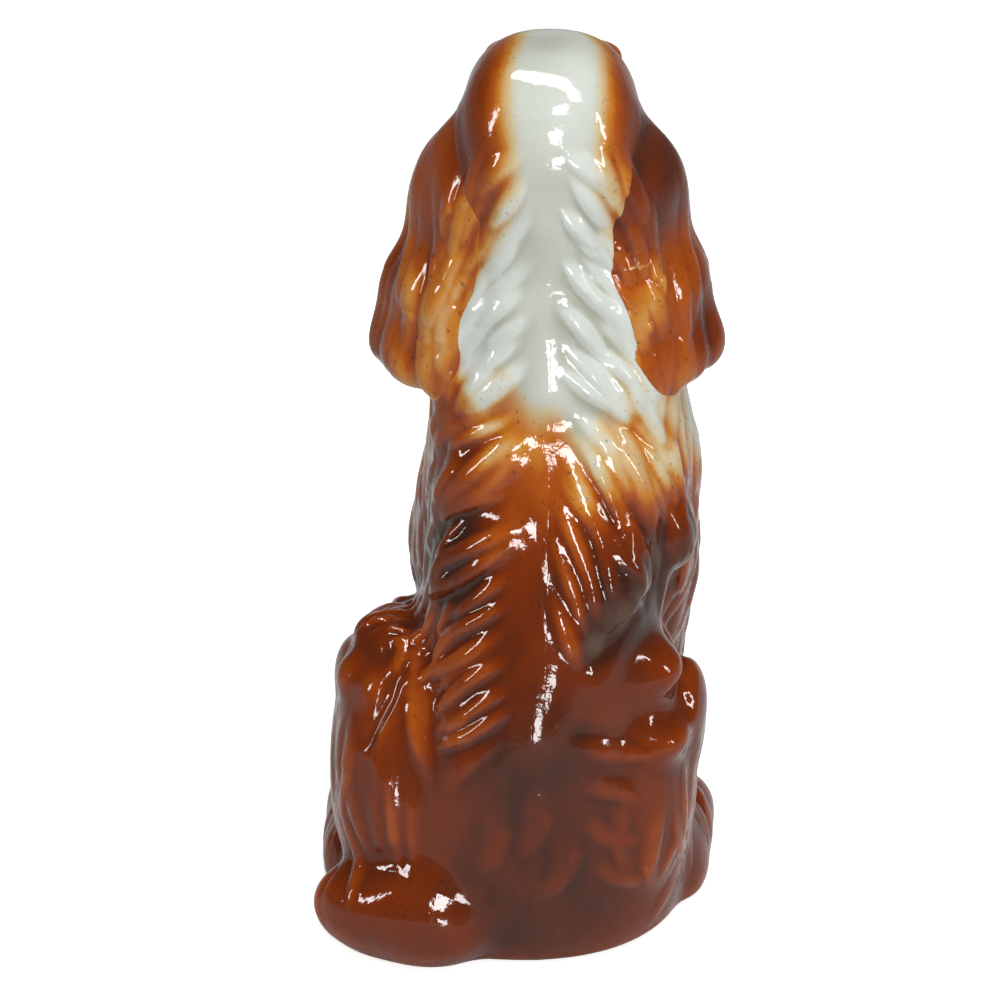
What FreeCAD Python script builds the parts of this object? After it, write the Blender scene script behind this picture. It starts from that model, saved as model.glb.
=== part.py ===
import FreeCAD, Part
import math
import os

# Seated spaniel ornament in glazed earthenware, built up from hollow and solid clay pressings
# that are luted together with slip before the first firing.
# Lengths are millimetres and angles are degrees. The dog looks along -Y, +X is its left side and +Z is up.
# The origin is on the table, in the plane of the body's seam, below the neck.

# Clay and joints
WALL = 4.0
SEAM_WIDTH = 0.8
COLLAR_SLIP = 1.2
FLOOR_THICKNESS = 4.0
VENT_RADIUS = 6.0
VENT_BEHIND_NECK = 18.0
KILN_VENT_RADIUS = 2.5
OVERRUN = 5.0

# Body: a hollow pressing from the table to the collar, with the neck running on up into the head.
# The dog sits over on its left hip, so the lower body lies left of the seam and the chest right of it.
COLLAR_HEIGHT = 186.0
NECK_INTO_HEAD = 18.0
BODY_HALF_WIDTH = 47.0
BODY_BACK = 58.0
BODY_FRONT = 48.0
HIP_SHIFT = 8.5
FORELEG_SHIFT_SHARE = -0.12
BODY_FULLNESS = 0.94

# Swellings of the body: the crop of the breast, and the thick mat where the right flank's coat ends
BREAST_HALF_WIDTH = 18.0
BREAST_HALF_DEPTH = 11.0
BREAST_HALF_HEIGHT = 30.0
BREAST_FORWARD = 41.0
BREAST_BELOW_COLLAR = 48.0
BREAST_LEAN = -6.0
MAT_HALF_WIDTH = 9.0
MAT_HALF_DEPTH = 7.0
MAT_HALF_HEIGHT = 18.0
MAT_RIGHT = 19.0
MAT_BEHIND = 29.0
MAT_BELOW_COLLAR = 78.0
MAT_LEAN = 26.0

# Main locks of the coat: broad raised lobes on the body
LOCK_HALF_LENGTH = 19.0
LOCK_HALF_WIDTH = 7.5
LOCK_HALF_THICKNESS = 5.5
LOCK_SINK = 2.8

# Head: a hollow pressing with the upper neck and the muzzle on it
SKULL_HALF_WIDTH = 24.0
SKULL_HALF_LENGTH = 28.0
SKULL_HALF_HEIGHT = 27.0
SKULL_ABOVE_COLLAR = 27.0
SKULL_FORWARD = 14.0
SKULL_SQUARENESS = 2.5
MUZZLE_LENGTH = 24.0
MUZZLE_HALF_WIDTH = 16.5
MUZZLE_DEPTH = 28.0
MUZZLE_INTO_SKULL = 16.0
MUZZLE_DROP = 6.0
MUZZLE_FULLNESS = 0.88

# Ears: solid flaps that hang from the sides of the skull
EAR_LENGTH = 76.0
EAR_HALF_BREADTH = 19.0
EAR_HALF_THICKNESS = 8.0
EAR_OUTWARD = 34.0
EAR_TURN = 32.0
EAR_TOP_ABOVE_SKULL_MIDDLE = 12.0
EAR_BEHIND_SKULL_MIDDLE = 7.0
RIGHT_EAR_TUCK = 1.0
RIGHT_EAR_RISE = 2.0

# Forelegs: solid pressings with the paw on them, set back under the shoulder at the top
FORELEG_HEIGHT = 120.0
FORELEG_HALF_WIDTH = 13.5
FORELEG_HALF_DEPTH = 15.0
FORELEG_SPREAD = 25.0
FORELEG_FORWARD = 38.0
FORELEG_SLOPE = 18.0
FORELEG_FULLNESS = 0.95
SHOULDER_HALF_WIDTH = 9.0
SHOULDER_HALF_LENGTH = 16.5
SHOULDER_HALF_HEIGHT = 20.0
SHOULDER_OUTWARD = 28.0
SHOULDER_TO_RIGHT = 3.5
SHOULDER_FORWARD = 22.0
SHOULDER_HEIGHT = 111.0
SHOULDER_LEAN = -10.0
PAW_HALF_WIDTH = 14.5
PAW_HALF_LENGTH = 20.0
PAW_HEIGHT = 17.0
PAW_FORWARD = 8.0
PAW_SQUARENESS = 2.3

# Haunches: hollow pads on the sides of the body
HAUNCH_HALF_THICKNESS = 24.0
HAUNCH_HALF_LENGTH = 36.0
HAUNCH_HALF_HEIGHT = 41.0
HAUNCH_HEIGHT = 38.0
HAUNCH_BEHIND = 12.0
HAUNCH_SET_IN = 20.5
HAUNCH_SQUARENESS = 2.5
HAUNCH_LEAN = 12.0
HAUNCH_WALL = 5.0
LEFT_HAUNCH_LIFT = 4.0

# Hind feet: solid, flat underneath
HIND_FOOT_LENGTH = 54.0
HIND_FOOT_HALF_WIDTH = 11.5
HIND_FOOT_HEIGHT = 19.0
HIND_FOOT_SET_IN = 3.0
HIND_FOOT_BEHIND = 26.0
HIND_FOOT_TOE_OUT = 1.5
HIND_FOOT_FULLNESS = 0.9

# Tail: a solid stub that lies on the table, swept to the dog's left
TAIL_HALF_LENGTH = 26.0
TAIL_HALF_DEPTH = 14.0
TAIL_HALF_HEIGHT = 14.0
TAIL_LEFT = 28.0
TAIL_SET_IN = 10.5
TAIL_SWEEP = 14.0
TAIL_HEIGHT = 12.0
TAIL_SQUARENESS = 2.3

# Height, half width, back, front and sideways shift of each body section. The shares are of COLLAR_HEIGHT,
# BODY_HALF_WIDTH, BODY_BACK, BODY_FRONT and HIP_SHIFT, in that order.
BODY_SECTION_SHARES = [
    (0.00, 0.98, 0.95, 0.42, 0.80),
    (0.06, 1.02, 0.98, 0.46, 0.85),
    (0.18, 0.96, 1.00, 0.52, 0.80),
    (0.33, 0.80, 0.94, 0.62, 0.50),
    (0.48, 0.70, 0.79, 0.78, 0.05),
    (0.62, 0.73, 0.58, 0.96, -0.30),
    (0.76, 0.72, 0.39, 1.00, -0.32),
    (0.88, 0.61, 0.27, 0.90, -0.15),
    (1.00, 0.51, 0.22, 0.74, 0.00),
]
NECK_END_SHARES = (0.42, 0.19, 0.55, 0.0)

# Height of each main lock, its bearing round from straight behind, and its slope below level. The height is a
# share of COLLAR_HEIGHT, and bearings to the dog's left are positive.
LOCK_PLACES = [
    (0.91, 42, 52),
    (0.81, 44, 46),
    (0.71, 40, 36),
    (0.61, 38, 33),
    (0.92, -42, 52),
    (0.82, -46, 50),
    (0.72, -33, 56),
    (0.68, -66, 66),
    (0.90, 152, 66),
    (0.78, 140, 70),
    (0.90, -152, 66),
    (0.78, -140, 70),
]

# Place along the muzzle from its root in the skull, half width, and reach above and below the middle of each
# muzzle section. The shares are of the muzzle's whole length, MUZZLE_HALF_WIDTH, MUZZLE_DEPTH and MUZZLE_DEPTH.
MUZZLE_SECTION_SHARES = [
    (0.00, 1.15, 0.56, 0.60),
    (0.38, 1.10, 0.48, 0.60),
    (0.70, 1.00, 0.40, 0.58),
    (0.88, 0.88, 0.35, 0.52),
    (0.97, 0.66, 0.27, 0.40),
    (1.00, 0.40, 0.16, 0.24),
]

# Drop from the top, outward place, breadth, thickness and forward place of each ear section. The shares are
# of EAR_LENGTH, EAR_OUTWARD, EAR_HALF_BREADTH, EAR_HALF_THICKNESS and EAR_HALF_BREADTH.
EAR_SECTION_SHARES = [
    (0.00, 0.46, 0.30, 0.45, 0.00),
    (0.05, 0.52, 0.55, 0.75, 0.00),
    (0.16, 0.61, 0.80, 0.95, 0.05),
    (0.33, 0.76, 0.90, 1.00, 0.10),
    (0.52, 0.80, 0.98, 0.95, 0.10),
    (0.67, 0.93, 1.00, 1.05, 0.05),
    (0.78, 0.97, 1.00, 0.95, 0.00),
    (0.90, 1.05, 1.00, 1.05, 0.00),
    (0.97, 1.06, 0.92, 1.00, 0.00),
    (1.00, 1.04, 0.65, 0.65, 0.00),
]

# Height, half width, half depth and setting back of each foreleg section. The shares are of FORELEG_HEIGHT,
# FORELEG_HALF_WIDTH, FORELEG_HALF_DEPTH and FORELEG_SLOPE.
FORELEG_SECTION_SHARES = [
    (0.00, 0.80, 0.72, 0.00),
    (0.14, 0.78, 0.70, 0.00),
    (0.34, 0.86, 0.84, 0.10),
    (0.55, 1.06, 1.10, 0.35),
    (0.72, 1.18, 1.45, 0.65),
    (0.88, 0.96, 1.45, 0.90),
    (1.00, 0.50, 0.90, 1.00),
]

# Place along the hind foot from the heel, half width and height of each section. The shares are of
# HIND_FOOT_LENGTH, HIND_FOOT_HALF_WIDTH and HIND_FOOT_HEIGHT.
HIND_FOOT_SECTION_SHARES = [
    (0.00, 0.50, 0.55),
    (0.08, 0.80, 0.85),
    (0.30, 1.02, 1.00),
    (0.58, 1.06, 0.88),
    (0.80, 1.10, 0.85),
    (0.93, 0.95, 0.70),
    (1.00, 0.55, 0.42),
]

# How finely the outlines and lumps are drawn, and how near its pole a lump's last outline lies
OUTLINE_POINTS = 16
LUMP_STEPS = 5
LUMP_END_SHARE = 0.985

# Distance along the skin, and turn round it, over which its slope is taken
SKIN_STEP = 2.0

LEFT, RIGHT = 1, -1
X = FreeCAD.Vector(1, 0, 0)
Y = FreeCAD.Vector(0, 1, 0)
Z = FreeCAD.Vector(0, 0, 1)


def power(value, exponent):
    """value to that power, with its sign kept."""
    return math.copysign(abs(value) ** exponent, value)


def oval(middle, along, across, half_along, half_across, fullness=1.0):
    """A closed smooth outline about middle. A fullness under 1 squares it up towards a rounded box."""
    points = []
    for step in range(OUTLINE_POINTS):
        angle = 2 * math.pi * step / OUTLINE_POINTS
        reach_along = along * (half_along * power(math.cos(angle), fullness))
        reach_across = across * (half_across * power(math.sin(angle), fullness))
        points.append(middle + reach_along + reach_across)
    curve = Part.BSplineCurve()
    curve.interpolate(Points=points, PeriodicFlag=True)
    return Part.Wire(curve.toShape())


def loft(outlines):
    return Part.makeLoft(outlines, True)


def lump(middle, half_x, half_y, half_z, squareness, turn_axis=None, turn=0):
    """A rounded lump, an ellipsoid at squareness 2 and nearer a box above it, turned about its own middle."""
    outlines = []
    for step in range(-LUMP_STEPS, LUMP_STEPS + 1):
        height = LUMP_END_SHARE * math.sin(math.pi / 2 * step / LUMP_STEPS)
        width = (1 - abs(height) ** squareness) ** (1 / squareness)
        origin = FreeCAD.Vector(0, 0, half_z * height)
        outlines.append(oval(origin, X, Y, half_x * width, half_y * width, 2 / squareness))
    shape = loft(outlines)
    if turn_axis is not None:
        shape.rotate(FreeCAD.Vector(0, 0, 0), turn_axis, turn)
    shape.translate(middle)
    return shape


def ellipsoid(middle, half_x, half_y, half_z, lean):
    """A smooth egg about middle, leant over by an angle round X."""
    shape = Part.makeSphere(half_x)
    stretch = FreeCAD.Matrix()
    stretch.scale(1, half_y / half_x, half_z / half_x)
    shape = shape.transformGeometry(stretch)
    shape.rotate(FreeCAD.Vector(0, 0, 0), X, lean)
    shape.translate(middle)
    return shape


def far():
    """A length that reaches past every piece from the origin."""
    return 2 * (COLLAR_HEIGHT + BODY_HALF_WIDTH + BODY_BACK + BODY_FRONT)


def slab(low, high):
    """All the space between two heights."""
    corner = FreeCAD.Vector(-far(), -far(), low)
    return Part.makeBox(2 * far(), 2 * far(), high - low, corner)


def side_space(side, gap):
    """All the space on one side of the seam, from gap outwards."""
    start = gap if side == LEFT else -gap - far()
    corner = FreeCAD.Vector(start, -far(), -far())
    return Part.makeBox(far(), 2 * far(), 2 * far(), corner)


def below_table():
    return slab(-far(), 0)


def body_outline(height, half_width, back, front, shift):
    middle = FreeCAD.Vector(shift, (back - front) / 2, height)
    return oval(middle, X, Y, half_width, (back + front) / 2, BODY_FULLNESS)


def body_form(inset):
    """The body and neck, drawn in by inset all round. The collar height doesn't cut it: the neck runs on."""
    outlines = []
    for height, width, back, front, shift in BODY_SECTION_SHARES:
        outlines.append(
            body_outline(
                COLLAR_HEIGHT * height,
                BODY_HALF_WIDTH * width - inset,
                BODY_BACK * back - inset,
                BODY_FRONT * front - inset,
                HIP_SHIFT * shift,
            )
        )
    width, back, front, shift = NECK_END_SHARES
    outlines.append(
        body_outline(
            COLLAR_HEIGHT + NECK_INTO_HEAD,
            BODY_HALF_WIDTH * width - inset,
            BODY_BACK * back - inset,
            BODY_FRONT * front - inset,
            HIP_SHIFT * shift,
        )
    )
    return loft(outlines)


def body_skin(height, bearing):
    """The point on the body's skin at a height and a bearing in degrees."""
    share = height / COLLAR_HEIGHT
    below = max(section for section in BODY_SECTION_SHARES if section[0] <= share)
    above = min(section for section in BODY_SECTION_SHARES if section[0] > share)
    part = (share - below[0]) / (above[0] - below[0])
    width, back, front, shift = (low + (high - low) * part for low, high in zip(below[1:], above[1:]))
    angle = math.radians(bearing)
    side = BODY_HALF_WIDTH * width * power(math.sin(angle), BODY_FULLNESS)
    rear = (BODY_BACK * back + BODY_FRONT * front) / 2 * power(math.cos(angle), BODY_FULLNESS)
    middle = (BODY_BACK * back - BODY_FRONT * front) / 2
    return FreeCAD.Vector(HIP_SHIFT * shift + side, middle + rear, height)


def lock(height_share, bearing, slope):
    """A broad lock that runs down and away from the middle of the back or breast, half sunk in the body."""
    height = COLLAR_HEIGHT * height_share
    skin = body_skin(height, bearing)
    up = (body_skin(height + SKIN_STEP, bearing) - body_skin(height - SKIN_STEP, bearing)).normalize()
    level = body_skin(height, bearing + SKIN_STEP) - body_skin(height, bearing - SKIN_STEP)
    outward = up.cross(level).normalize()
    away = up.cross(outward)
    if away.x * bearing < 0:
        away = -away
    fall = math.radians(slope)
    along = away * math.cos(fall) - up * math.sin(fall)
    across = along.cross(outward)
    shape = Part.makeSphere(LOCK_HALF_THICKNESS)
    stretch = FreeCAD.Matrix()
    stretch.scale(LOCK_HALF_WIDTH / LOCK_HALF_THICKNESS, LOCK_HALF_LENGTH / LOCK_HALF_THICKNESS, 1)
    shape = shape.transformGeometry(stretch)
    turn = FreeCAD.Rotation(across, along, outward, "ZYX")
    shape.Placement = FreeCAD.Placement(skin - outward * LOCK_SINK, turn)
    return shape


def swollen_body():
    """The body and neck with the breast, the flank's mat and the main locks on them."""
    breast = ellipsoid(
        FreeCAD.Vector(0, -BREAST_FORWARD, COLLAR_HEIGHT - BREAST_BELOW_COLLAR),
        BREAST_HALF_WIDTH,
        BREAST_HALF_DEPTH,
        BREAST_HALF_HEIGHT,
        BREAST_LEAN,
    )
    mat = ellipsoid(
        FreeCAD.Vector(-MAT_RIGHT, MAT_BEHIND, COLLAR_HEIGHT - MAT_BELOW_COLLAR),
        MAT_HALF_WIDTH,
        MAT_HALF_DEPTH,
        MAT_HALF_HEIGHT,
        MAT_LEAN,
    )
    return body_form(0).fuse([breast, mat] + [lock(*place) for place in LOCK_PLACES])


def skull_middle():
    return FreeCAD.Vector(0, -SKULL_FORWARD, COLLAR_HEIGHT + SKULL_ABOVE_COLLAR)


def skull_form(inset):
    return lump(
        skull_middle(),
        SKULL_HALF_WIDTH - inset,
        SKULL_HALF_LENGTH - inset,
        SKULL_HALF_HEIGHT - inset,
        SKULL_SQUARENESS,
    )


def muzzle_form():
    """The muzzle and lower jaw, from inside the skull to the nose."""
    root = skull_middle() - Y * (SKULL_HALF_LENGTH - MUZZLE_INTO_SKULL) - Z * MUZZLE_DROP
    outlines = []
    for along, width, top, bottom in MUZZLE_SECTION_SHARES:
        rise = MUZZLE_DEPTH * (top - bottom) / 2
        middle = root - Y * (MUZZLE_LENGTH + MUZZLE_INTO_SKULL) * along + Z * rise
        half_height = MUZZLE_DEPTH * (top + bottom) / 2
        half_width = MUZZLE_HALF_WIDTH * width
        outlines.append(oval(middle, X, Z, half_width, half_height, MUZZLE_FULLNESS))
    return loft(outlines)


def head_form():
    neck = body_form(0).common(slab(COLLAR_HEIGHT + COLLAR_SLIP, COLLAR_HEIGHT + NECK_INTO_HEAD))
    return neck.fuse([skull_form(0), muzzle_form()])


def ear_form(side):
    """A flap hung from the skull: thin, waved at its edge, with its front edge turned outwards."""
    turn = math.radians(EAR_TURN)
    broad = FreeCAD.Vector(side * math.sin(turn), -math.cos(turn), 0)
    thin = FreeCAD.Vector(side * math.cos(turn), math.sin(turn), 0)
    tuck = RIGHT_EAR_TUCK if side == RIGHT else 0
    rise = RIGHT_EAR_RISE if side == RIGHT else 0
    top = skull_middle() + Z * (EAR_TOP_ABOVE_SKULL_MIDDLE + rise)
    outlines = []
    for drop, outward, breadth, thickness, forward in EAR_SECTION_SHARES:
        middle = top - Z * (EAR_LENGTH * drop) + X * (side * (EAR_OUTWARD * outward - tuck))
        middle = middle + Y * (EAR_BEHIND_SKULL_MIDDLE - EAR_HALF_BREADTH * forward)
        outlines.append(
            oval(middle, broad, thin, EAR_HALF_BREADTH * breadth, EAR_HALF_THICKNESS * thickness)
        )
    return loft(outlines)


def foreleg_form(side):
    outward = HIP_SHIFT * FORELEG_SHIFT_SHARE + side * FORELEG_SPREAD
    foot = FreeCAD.Vector(outward, -FORELEG_FORWARD, 0)
    outlines = []
    for height, width, depth, back in FORELEG_SECTION_SHARES:
        middle = foot + Z * (FORELEG_HEIGHT * height) + Y * (FORELEG_SLOPE * back)
        half_width = FORELEG_HALF_WIDTH * width
        half_depth = FORELEG_HALF_DEPTH * depth
        outlines.append(oval(middle, X, Y, half_width, half_depth, FORELEG_FULLNESS))
    paw = lump(foot - Y * PAW_FORWARD, PAW_HALF_WIDTH, PAW_HALF_LENGTH, PAW_HEIGHT, PAW_SQUARENESS)
    shoulder = ellipsoid(
        FreeCAD.Vector(side * SHOULDER_OUTWARD - SHOULDER_TO_RIGHT, -SHOULDER_FORWARD, SHOULDER_HEIGHT),
        SHOULDER_HALF_WIDTH,
        SHOULDER_HALF_LENGTH,
        SHOULDER_HALF_HEIGHT,
        SHOULDER_LEAN,
    )
    return loft(outlines).fuse([paw, shoulder]).cut(below_table())


def haunch_middle(side):
    lift = LEFT_HAUNCH_LIFT if side == LEFT else 0
    outward = side * (BODY_HALF_WIDTH - HAUNCH_SET_IN)
    return FreeCAD.Vector(HIP_SHIFT + outward, HAUNCH_BEHIND, HAUNCH_HEIGHT + lift)


def haunch_form(side):
    return lump(
        haunch_middle(side),
        HAUNCH_HALF_THICKNESS,
        HAUNCH_HALF_LENGTH,
        HAUNCH_HALF_HEIGHT,
        HAUNCH_SQUARENESS,
        X,
        HAUNCH_LEAN,
    )


def haunch_hollow(side):
    return ellipsoid(
        haunch_middle(side),
        HAUNCH_HALF_THICKNESS - HAUNCH_WALL,
        HAUNCH_HALF_LENGTH - HAUNCH_WALL,
        HAUNCH_HALF_HEIGHT - HAUNCH_WALL,
        HAUNCH_LEAN,
    )


def hind_foot_form(side):
    """A foot along the body's foot line, from behind the haunch to the toes, flat on the table."""
    toe_out = math.radians(HIND_FOOT_TOE_OUT)
    ahead = FreeCAD.Vector(side * math.sin(toe_out), -math.cos(toe_out), 0)
    across = FreeCAD.Vector(side * math.cos(toe_out), math.sin(toe_out), 0)
    outward = side * (BODY_HALF_WIDTH - HIND_FOOT_SET_IN)
    heel = FreeCAD.Vector(HIP_SHIFT + outward, HIND_FOOT_BEHIND, 0)
    outlines = []
    for along, width, height in HIND_FOOT_SECTION_SHARES:
        middle = heel + ahead * (HIND_FOOT_LENGTH * along)
        half_width = HIND_FOOT_HALF_WIDTH * width
        half_height = HIND_FOOT_HEIGHT * height
        outlines.append(oval(middle, across, Z, half_width, half_height, HIND_FOOT_FULLNESS))
    return loft(outlines).cut(below_table())


def tail_form():
    middle = FreeCAD.Vector(HIP_SHIFT + TAIL_LEFT, BODY_BACK - TAIL_SET_IN, TAIL_HEIGHT)
    stub = lump(
        middle,
        TAIL_HALF_LENGTH,
        TAIL_HALF_DEPTH,
        TAIL_HALF_HEIGHT,
        TAIL_SQUARENESS,
        Z,
        -TAIL_SWEEP,
    )
    return stub.cut(below_table())


def kiln_vent(side):
    """The pin hole that lets the air out of a haunch into the hollow body while it is fired."""
    start = haunch_middle(side)
    start.x = HIP_SHIFT
    return Part.makeCylinder(KILN_VENT_RADIUS, BODY_HALF_WIDTH, start, X * side)


def write(name, shape):
    """Writes one piece, and stops if it isn't one sound closed solid."""
    solids = shape.Solids
    if len(solids) != 1 or not solids[0].isValid():
        raise ValueError(f"{name} has {len(solids)} solids, valid: {[s.isValid() for s in solids]}")
    solids[0].exportStep(f"parts/{name}.step")
    box = solids[0].BoundBox
    print(
        f"{name}: {solids[0].Volume:.0f} mm3, X {box.XMin:.1f} to {box.XMax:.1f},"
        f" Y {box.YMin:.1f} to {box.YMax:.1f}, Z {box.ZMin:.1f} to {box.ZMax:.1f}"
    )


def write_seam(shell):
    """The slip in the seam runs up the back and the breast in two strips, so the piece holds two solids."""
    corner = FreeCAD.Vector(-SEAM_WIDTH / 2, -far(), -far())
    seam_space = Part.makeBox(SEAM_WIDTH, 2 * far(), 2 * far(), corner)
    strips = shell.common(seam_space).Solids
    if not all(strip.isValid() for strip in strips):
        raise ValueError("a strip of the seam slip isn't valid")
    Part.makeCompound(strips).exportStep("parts/body_seam_slip.step")
    print(f"body_seam_slip: {len(strips)} strips")


def main():
    os.makedirs("parts", exist_ok=True)
    outer = swollen_body()
    hollow = body_form(WALL)
    body_space = slab(-OVERRUN, COLLAR_HEIGHT)
    shell = outer.common(body_space).cut(hollow)

    floor = hollow.common(slab(0, FLOOR_THICKNESS))
    vent_start = FreeCAD.Vector(HIP_SHIFT, VENT_BEHIND_NECK, -OVERRUN)
    floor = floor.cut(Part.makeCylinder(VENT_RADIUS, FLOOR_THICKNESS + 2 * OVERRUN, vent_start))
    write("base_floor", floor)
    write_seam(shell)

    head = head_form()
    write("head_shell", head.cut([hollow, skull_form(WALL), outer.common(body_space)]))
    collar_space = slab(COLLAR_HEIGHT, COLLAR_HEIGHT + COLLAR_SLIP)
    write("collar_slip_ring", outer.common(collar_space).cut(hollow))

    tail = tail_form().cut(outer)
    write("tail_stub", tail)

    for side, word in ((LEFT, "left"), (RIGHT, "right")):
        half = shell.common(side_space(side, SEAM_WIDTH / 2)).cut(kiln_vent(side))
        write(f"body_{word}_half", half)
        write(f"{word}_ear", ear_form(side).cut([outer, head]))
        foreleg = foreleg_form(side).cut(outer)
        write(f"{word}_foreleg", foreleg)
        haunch = haunch_form(side).cut([outer, foreleg, tail, below_table()])
        foot = hind_foot_form(side).cut([outer, haunch, foreleg, tail])
        write(f"{word}_hind_foot", foot)
        write(f"{word}_haunch", haunch.cut(haunch_hollow(side)))


main()
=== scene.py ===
from functools import reduce
from math import cos, radians, sin

import bpy
import numpy as np
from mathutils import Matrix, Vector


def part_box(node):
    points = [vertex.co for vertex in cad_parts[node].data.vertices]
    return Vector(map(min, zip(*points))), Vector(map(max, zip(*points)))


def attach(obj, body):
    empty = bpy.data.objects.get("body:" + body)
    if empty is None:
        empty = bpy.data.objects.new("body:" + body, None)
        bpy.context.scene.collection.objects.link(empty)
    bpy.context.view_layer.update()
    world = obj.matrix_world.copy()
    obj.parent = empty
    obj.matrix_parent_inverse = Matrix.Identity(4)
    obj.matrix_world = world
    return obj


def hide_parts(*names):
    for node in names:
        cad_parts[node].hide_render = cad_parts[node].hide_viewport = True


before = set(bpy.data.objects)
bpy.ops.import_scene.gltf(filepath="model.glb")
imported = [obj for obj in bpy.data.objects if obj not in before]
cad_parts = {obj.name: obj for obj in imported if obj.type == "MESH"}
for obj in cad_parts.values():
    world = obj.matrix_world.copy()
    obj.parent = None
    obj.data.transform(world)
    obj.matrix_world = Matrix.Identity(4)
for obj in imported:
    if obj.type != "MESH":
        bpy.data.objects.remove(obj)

import openvdb as vdb
from bpy.props import FloatProperty, FloatVectorProperty, IntProperty, PointerProperty
from mathutils import Euler, Vector

bl_info = {
    "name": "Seated Spaniel Ornament",
    "version": (1, 0, 0),
    "blender": (4, 5, 0),
    "location": "3D View > Sidebar > Ornament",
    "description": "Models, carves, glazes and lights a hollow pottery spaniel over its plain castings",
    "category": "Object",
}

MM = 0.001
LEFT, RIGHT = 1, -1
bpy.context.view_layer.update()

# Sizes and places are in millimetres and turns in degrees, apart from the stage's and the materials'.
# The clay is worked as a distance field, negative in the clay and positive in the air.
COARSE_STEP = 0.8
BAND_STEPS = 12
ROOM_ROUND_FIGURE = 12.0
ROOM_ROUND_CASTING = 7.0
JOINT_CLOSING = 0.6
BROAD_STEPS = 4
SLIPS = ("body_seam_slip", "collar_slip_ring")
SHELLS = ("body_left_half", "body_right_half", "head_shell")
HOLLOW_PIECES = (*SLIPS, *SHELLS, "base_floor", "left_haunch", "right_haunch")

# Castings: kind of coat, step of the finer grid that the piece is cast on, and glaze
CASTINGS = {
    "body_left_half": ("coat", 0.86, "back_glaze"),
    "body_right_half": ("coat", 0.86, "back_glaze"),
    "head_shell": ("head", 0.55, "head_glaze"),
    "left_ear": ("ear", 0.55, "ear_glaze"),
    "right_ear": ("ear", 0.55, "ear_glaze"),
    "left_foreleg": ("coat", 0.7, "leg_glaze"),
    "left_haunch": ("coat", 0.72, "haunch_glaze"),
    "left_hind_foot": ("coat", 0.6, "haunch_glaze"),
    "right_foreleg": ("coat", 0.7, "leg_glaze"),
    "right_haunch": ("coat", 0.72, "haunch_glaze"),
    "right_hind_foot": ("coat", 0.6, "haunch_glaze"),
    "tail_stub": ("coat", 0.6, "tail_glaze"),
}

# Past its border a casting dips under its neighbour, and ends a little further on
DIP = 0.25
DIP_END = 4.0

# Slip joints: axis across the joint and its middle, half width, rise, and room above and below
COLLAR_MIDDLE = 0.5 * (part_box("collar_slip_ring")[0][2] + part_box("collar_slip_ring")[1][2]) / MM
SLIP_JOINTS = (
    ("body_seam_slip", 0, 0, 1.6, 0.02, 1),
    ("collar_slip_ring", 2, COLLAR_MIDDLE, 0.5, -0.1, 2),
)
SLIP_STEP = 0.45
SLIP_DEPTH = 2.5
SLIP_ROOM = 3

# The locks are carved in a ground that lies below the form, which the hand leaves uneven
GROUND_DEPTH = 0.55
UNEVENNESS = {"coat": 0.16, "head": 0.16, "ear": 0.42}
LOCK_POINTS = 12
LOCK_CREST = 0.35
LOCK_DEPTH = 5.0

# Where the glaze pools in the carving and in broad hollows, with painted shade darkening the same places:
# rounds of averaging, the depth that counts as full, and each piece's share
POOL_AND_SHADE_ROUNDS = 24
POOL_AND_SHADE_DEPTH = 0.5
BROAD_DEPTH = 1.1
POOL_AND_SHADE_START = 0.2
POOL_AND_SHADE_SHARE = {"coat": 1.0, "head": 1.0, "ear": 0.75}

EYE_OUT = 11.0
EYE_FORWARD = -40.0
EYE_HEIGHT = 219.0
EYE_RADIUS = 4.4
PUPIL_RADIUS = 2.3
NOSE_MIDDLE = (0, -66, 213)
NOSE_RADII = (7.6, 5.2, 5.6)

# Heights at which the colour begins on the back and on the breast
BACK_EDGE = 146
BREAST_EDGE = 96

# Glaze: the noises' scales, the colours by warmth, and the surface
LAYERS = ("warmth", "pool_and_shade", "ink", "opal")
CLOUD_SCALE = 45
FLECK_SCALE = 260
MILK_SCALE = 150
PEEL_SCALE = 420
SPECK_SCALE = 700
GRAIN_SCALE = 900
GLAZE_STOPS = {"white": 0.0, "cream": 0.12, "amber": 0.29, "orange": 0.42, "brown": 0.66, "dark": 0.95}
GLAZE_ROUGHNESS = 0.07
GLAZE_IOR = 1.5
GLAZE_SPECULAR = 0.28
CLAY_DARK, CLAY_LIGHT = (0.55, 0.45, 0.33), (0.72, 0.63, 0.5)

# Stage, in metres and watts. The lamps have a name, place, width and height, and power.
# The last two values say whether a lamp lights the figure and whether it shows in its gloss.
LAMPS = (
    ("lamp_above", (-0.10, 0.20, 1.10), (0.5, 0.4), 6.0, True, False),
    ("lamp_behind", (-0.30, 1.15, 0.70), (0.5, 0.4), 8.0, True, False),
    ("window_above", (-0.05, -0.06, 1.15), (1.3, 0.20), 26.0, False, True),
    ("window_behind", (-0.14, 1.30, 0.66), (0.26, 0.34), 11.0, False, True),
    ("window_upper", (-0.20, 0.70, 1.10), (0.30, 0.22), 7.0, False, True),
    ("window_low", (-0.16, 1.30, 0.10), (0.20, 0.26), 5.5, False, True),
    ("window_left", (1.05, 0.35, 0.60), (0.14, 0.6), 8.0, False, True),
    ("window_right", (-1.05, 0.30, 0.50), (0.10, 0.5), 5.0, False, True),
)
LAMP_AIM = (0, 0, 0.12)
FLOOR_HALF_WIDTH = 4.0
PAPER = 0.78
PAPER_LIFT = 0.05
PAPER_LIFT_SEEN = 0.67
HORIZON_GLOSS = 0.16
CAMERA_AIM = (0, 0, 0.105)
SENSOR_WIDTH = 36
LENS_TO_SENSOR = 2.960
CAMERA_SHIFT = (-0.047, 0.032)

# What the operators share: the worked clay and the glazes made so far
clay = {}
finishes = {}


# Distance fields

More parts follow.
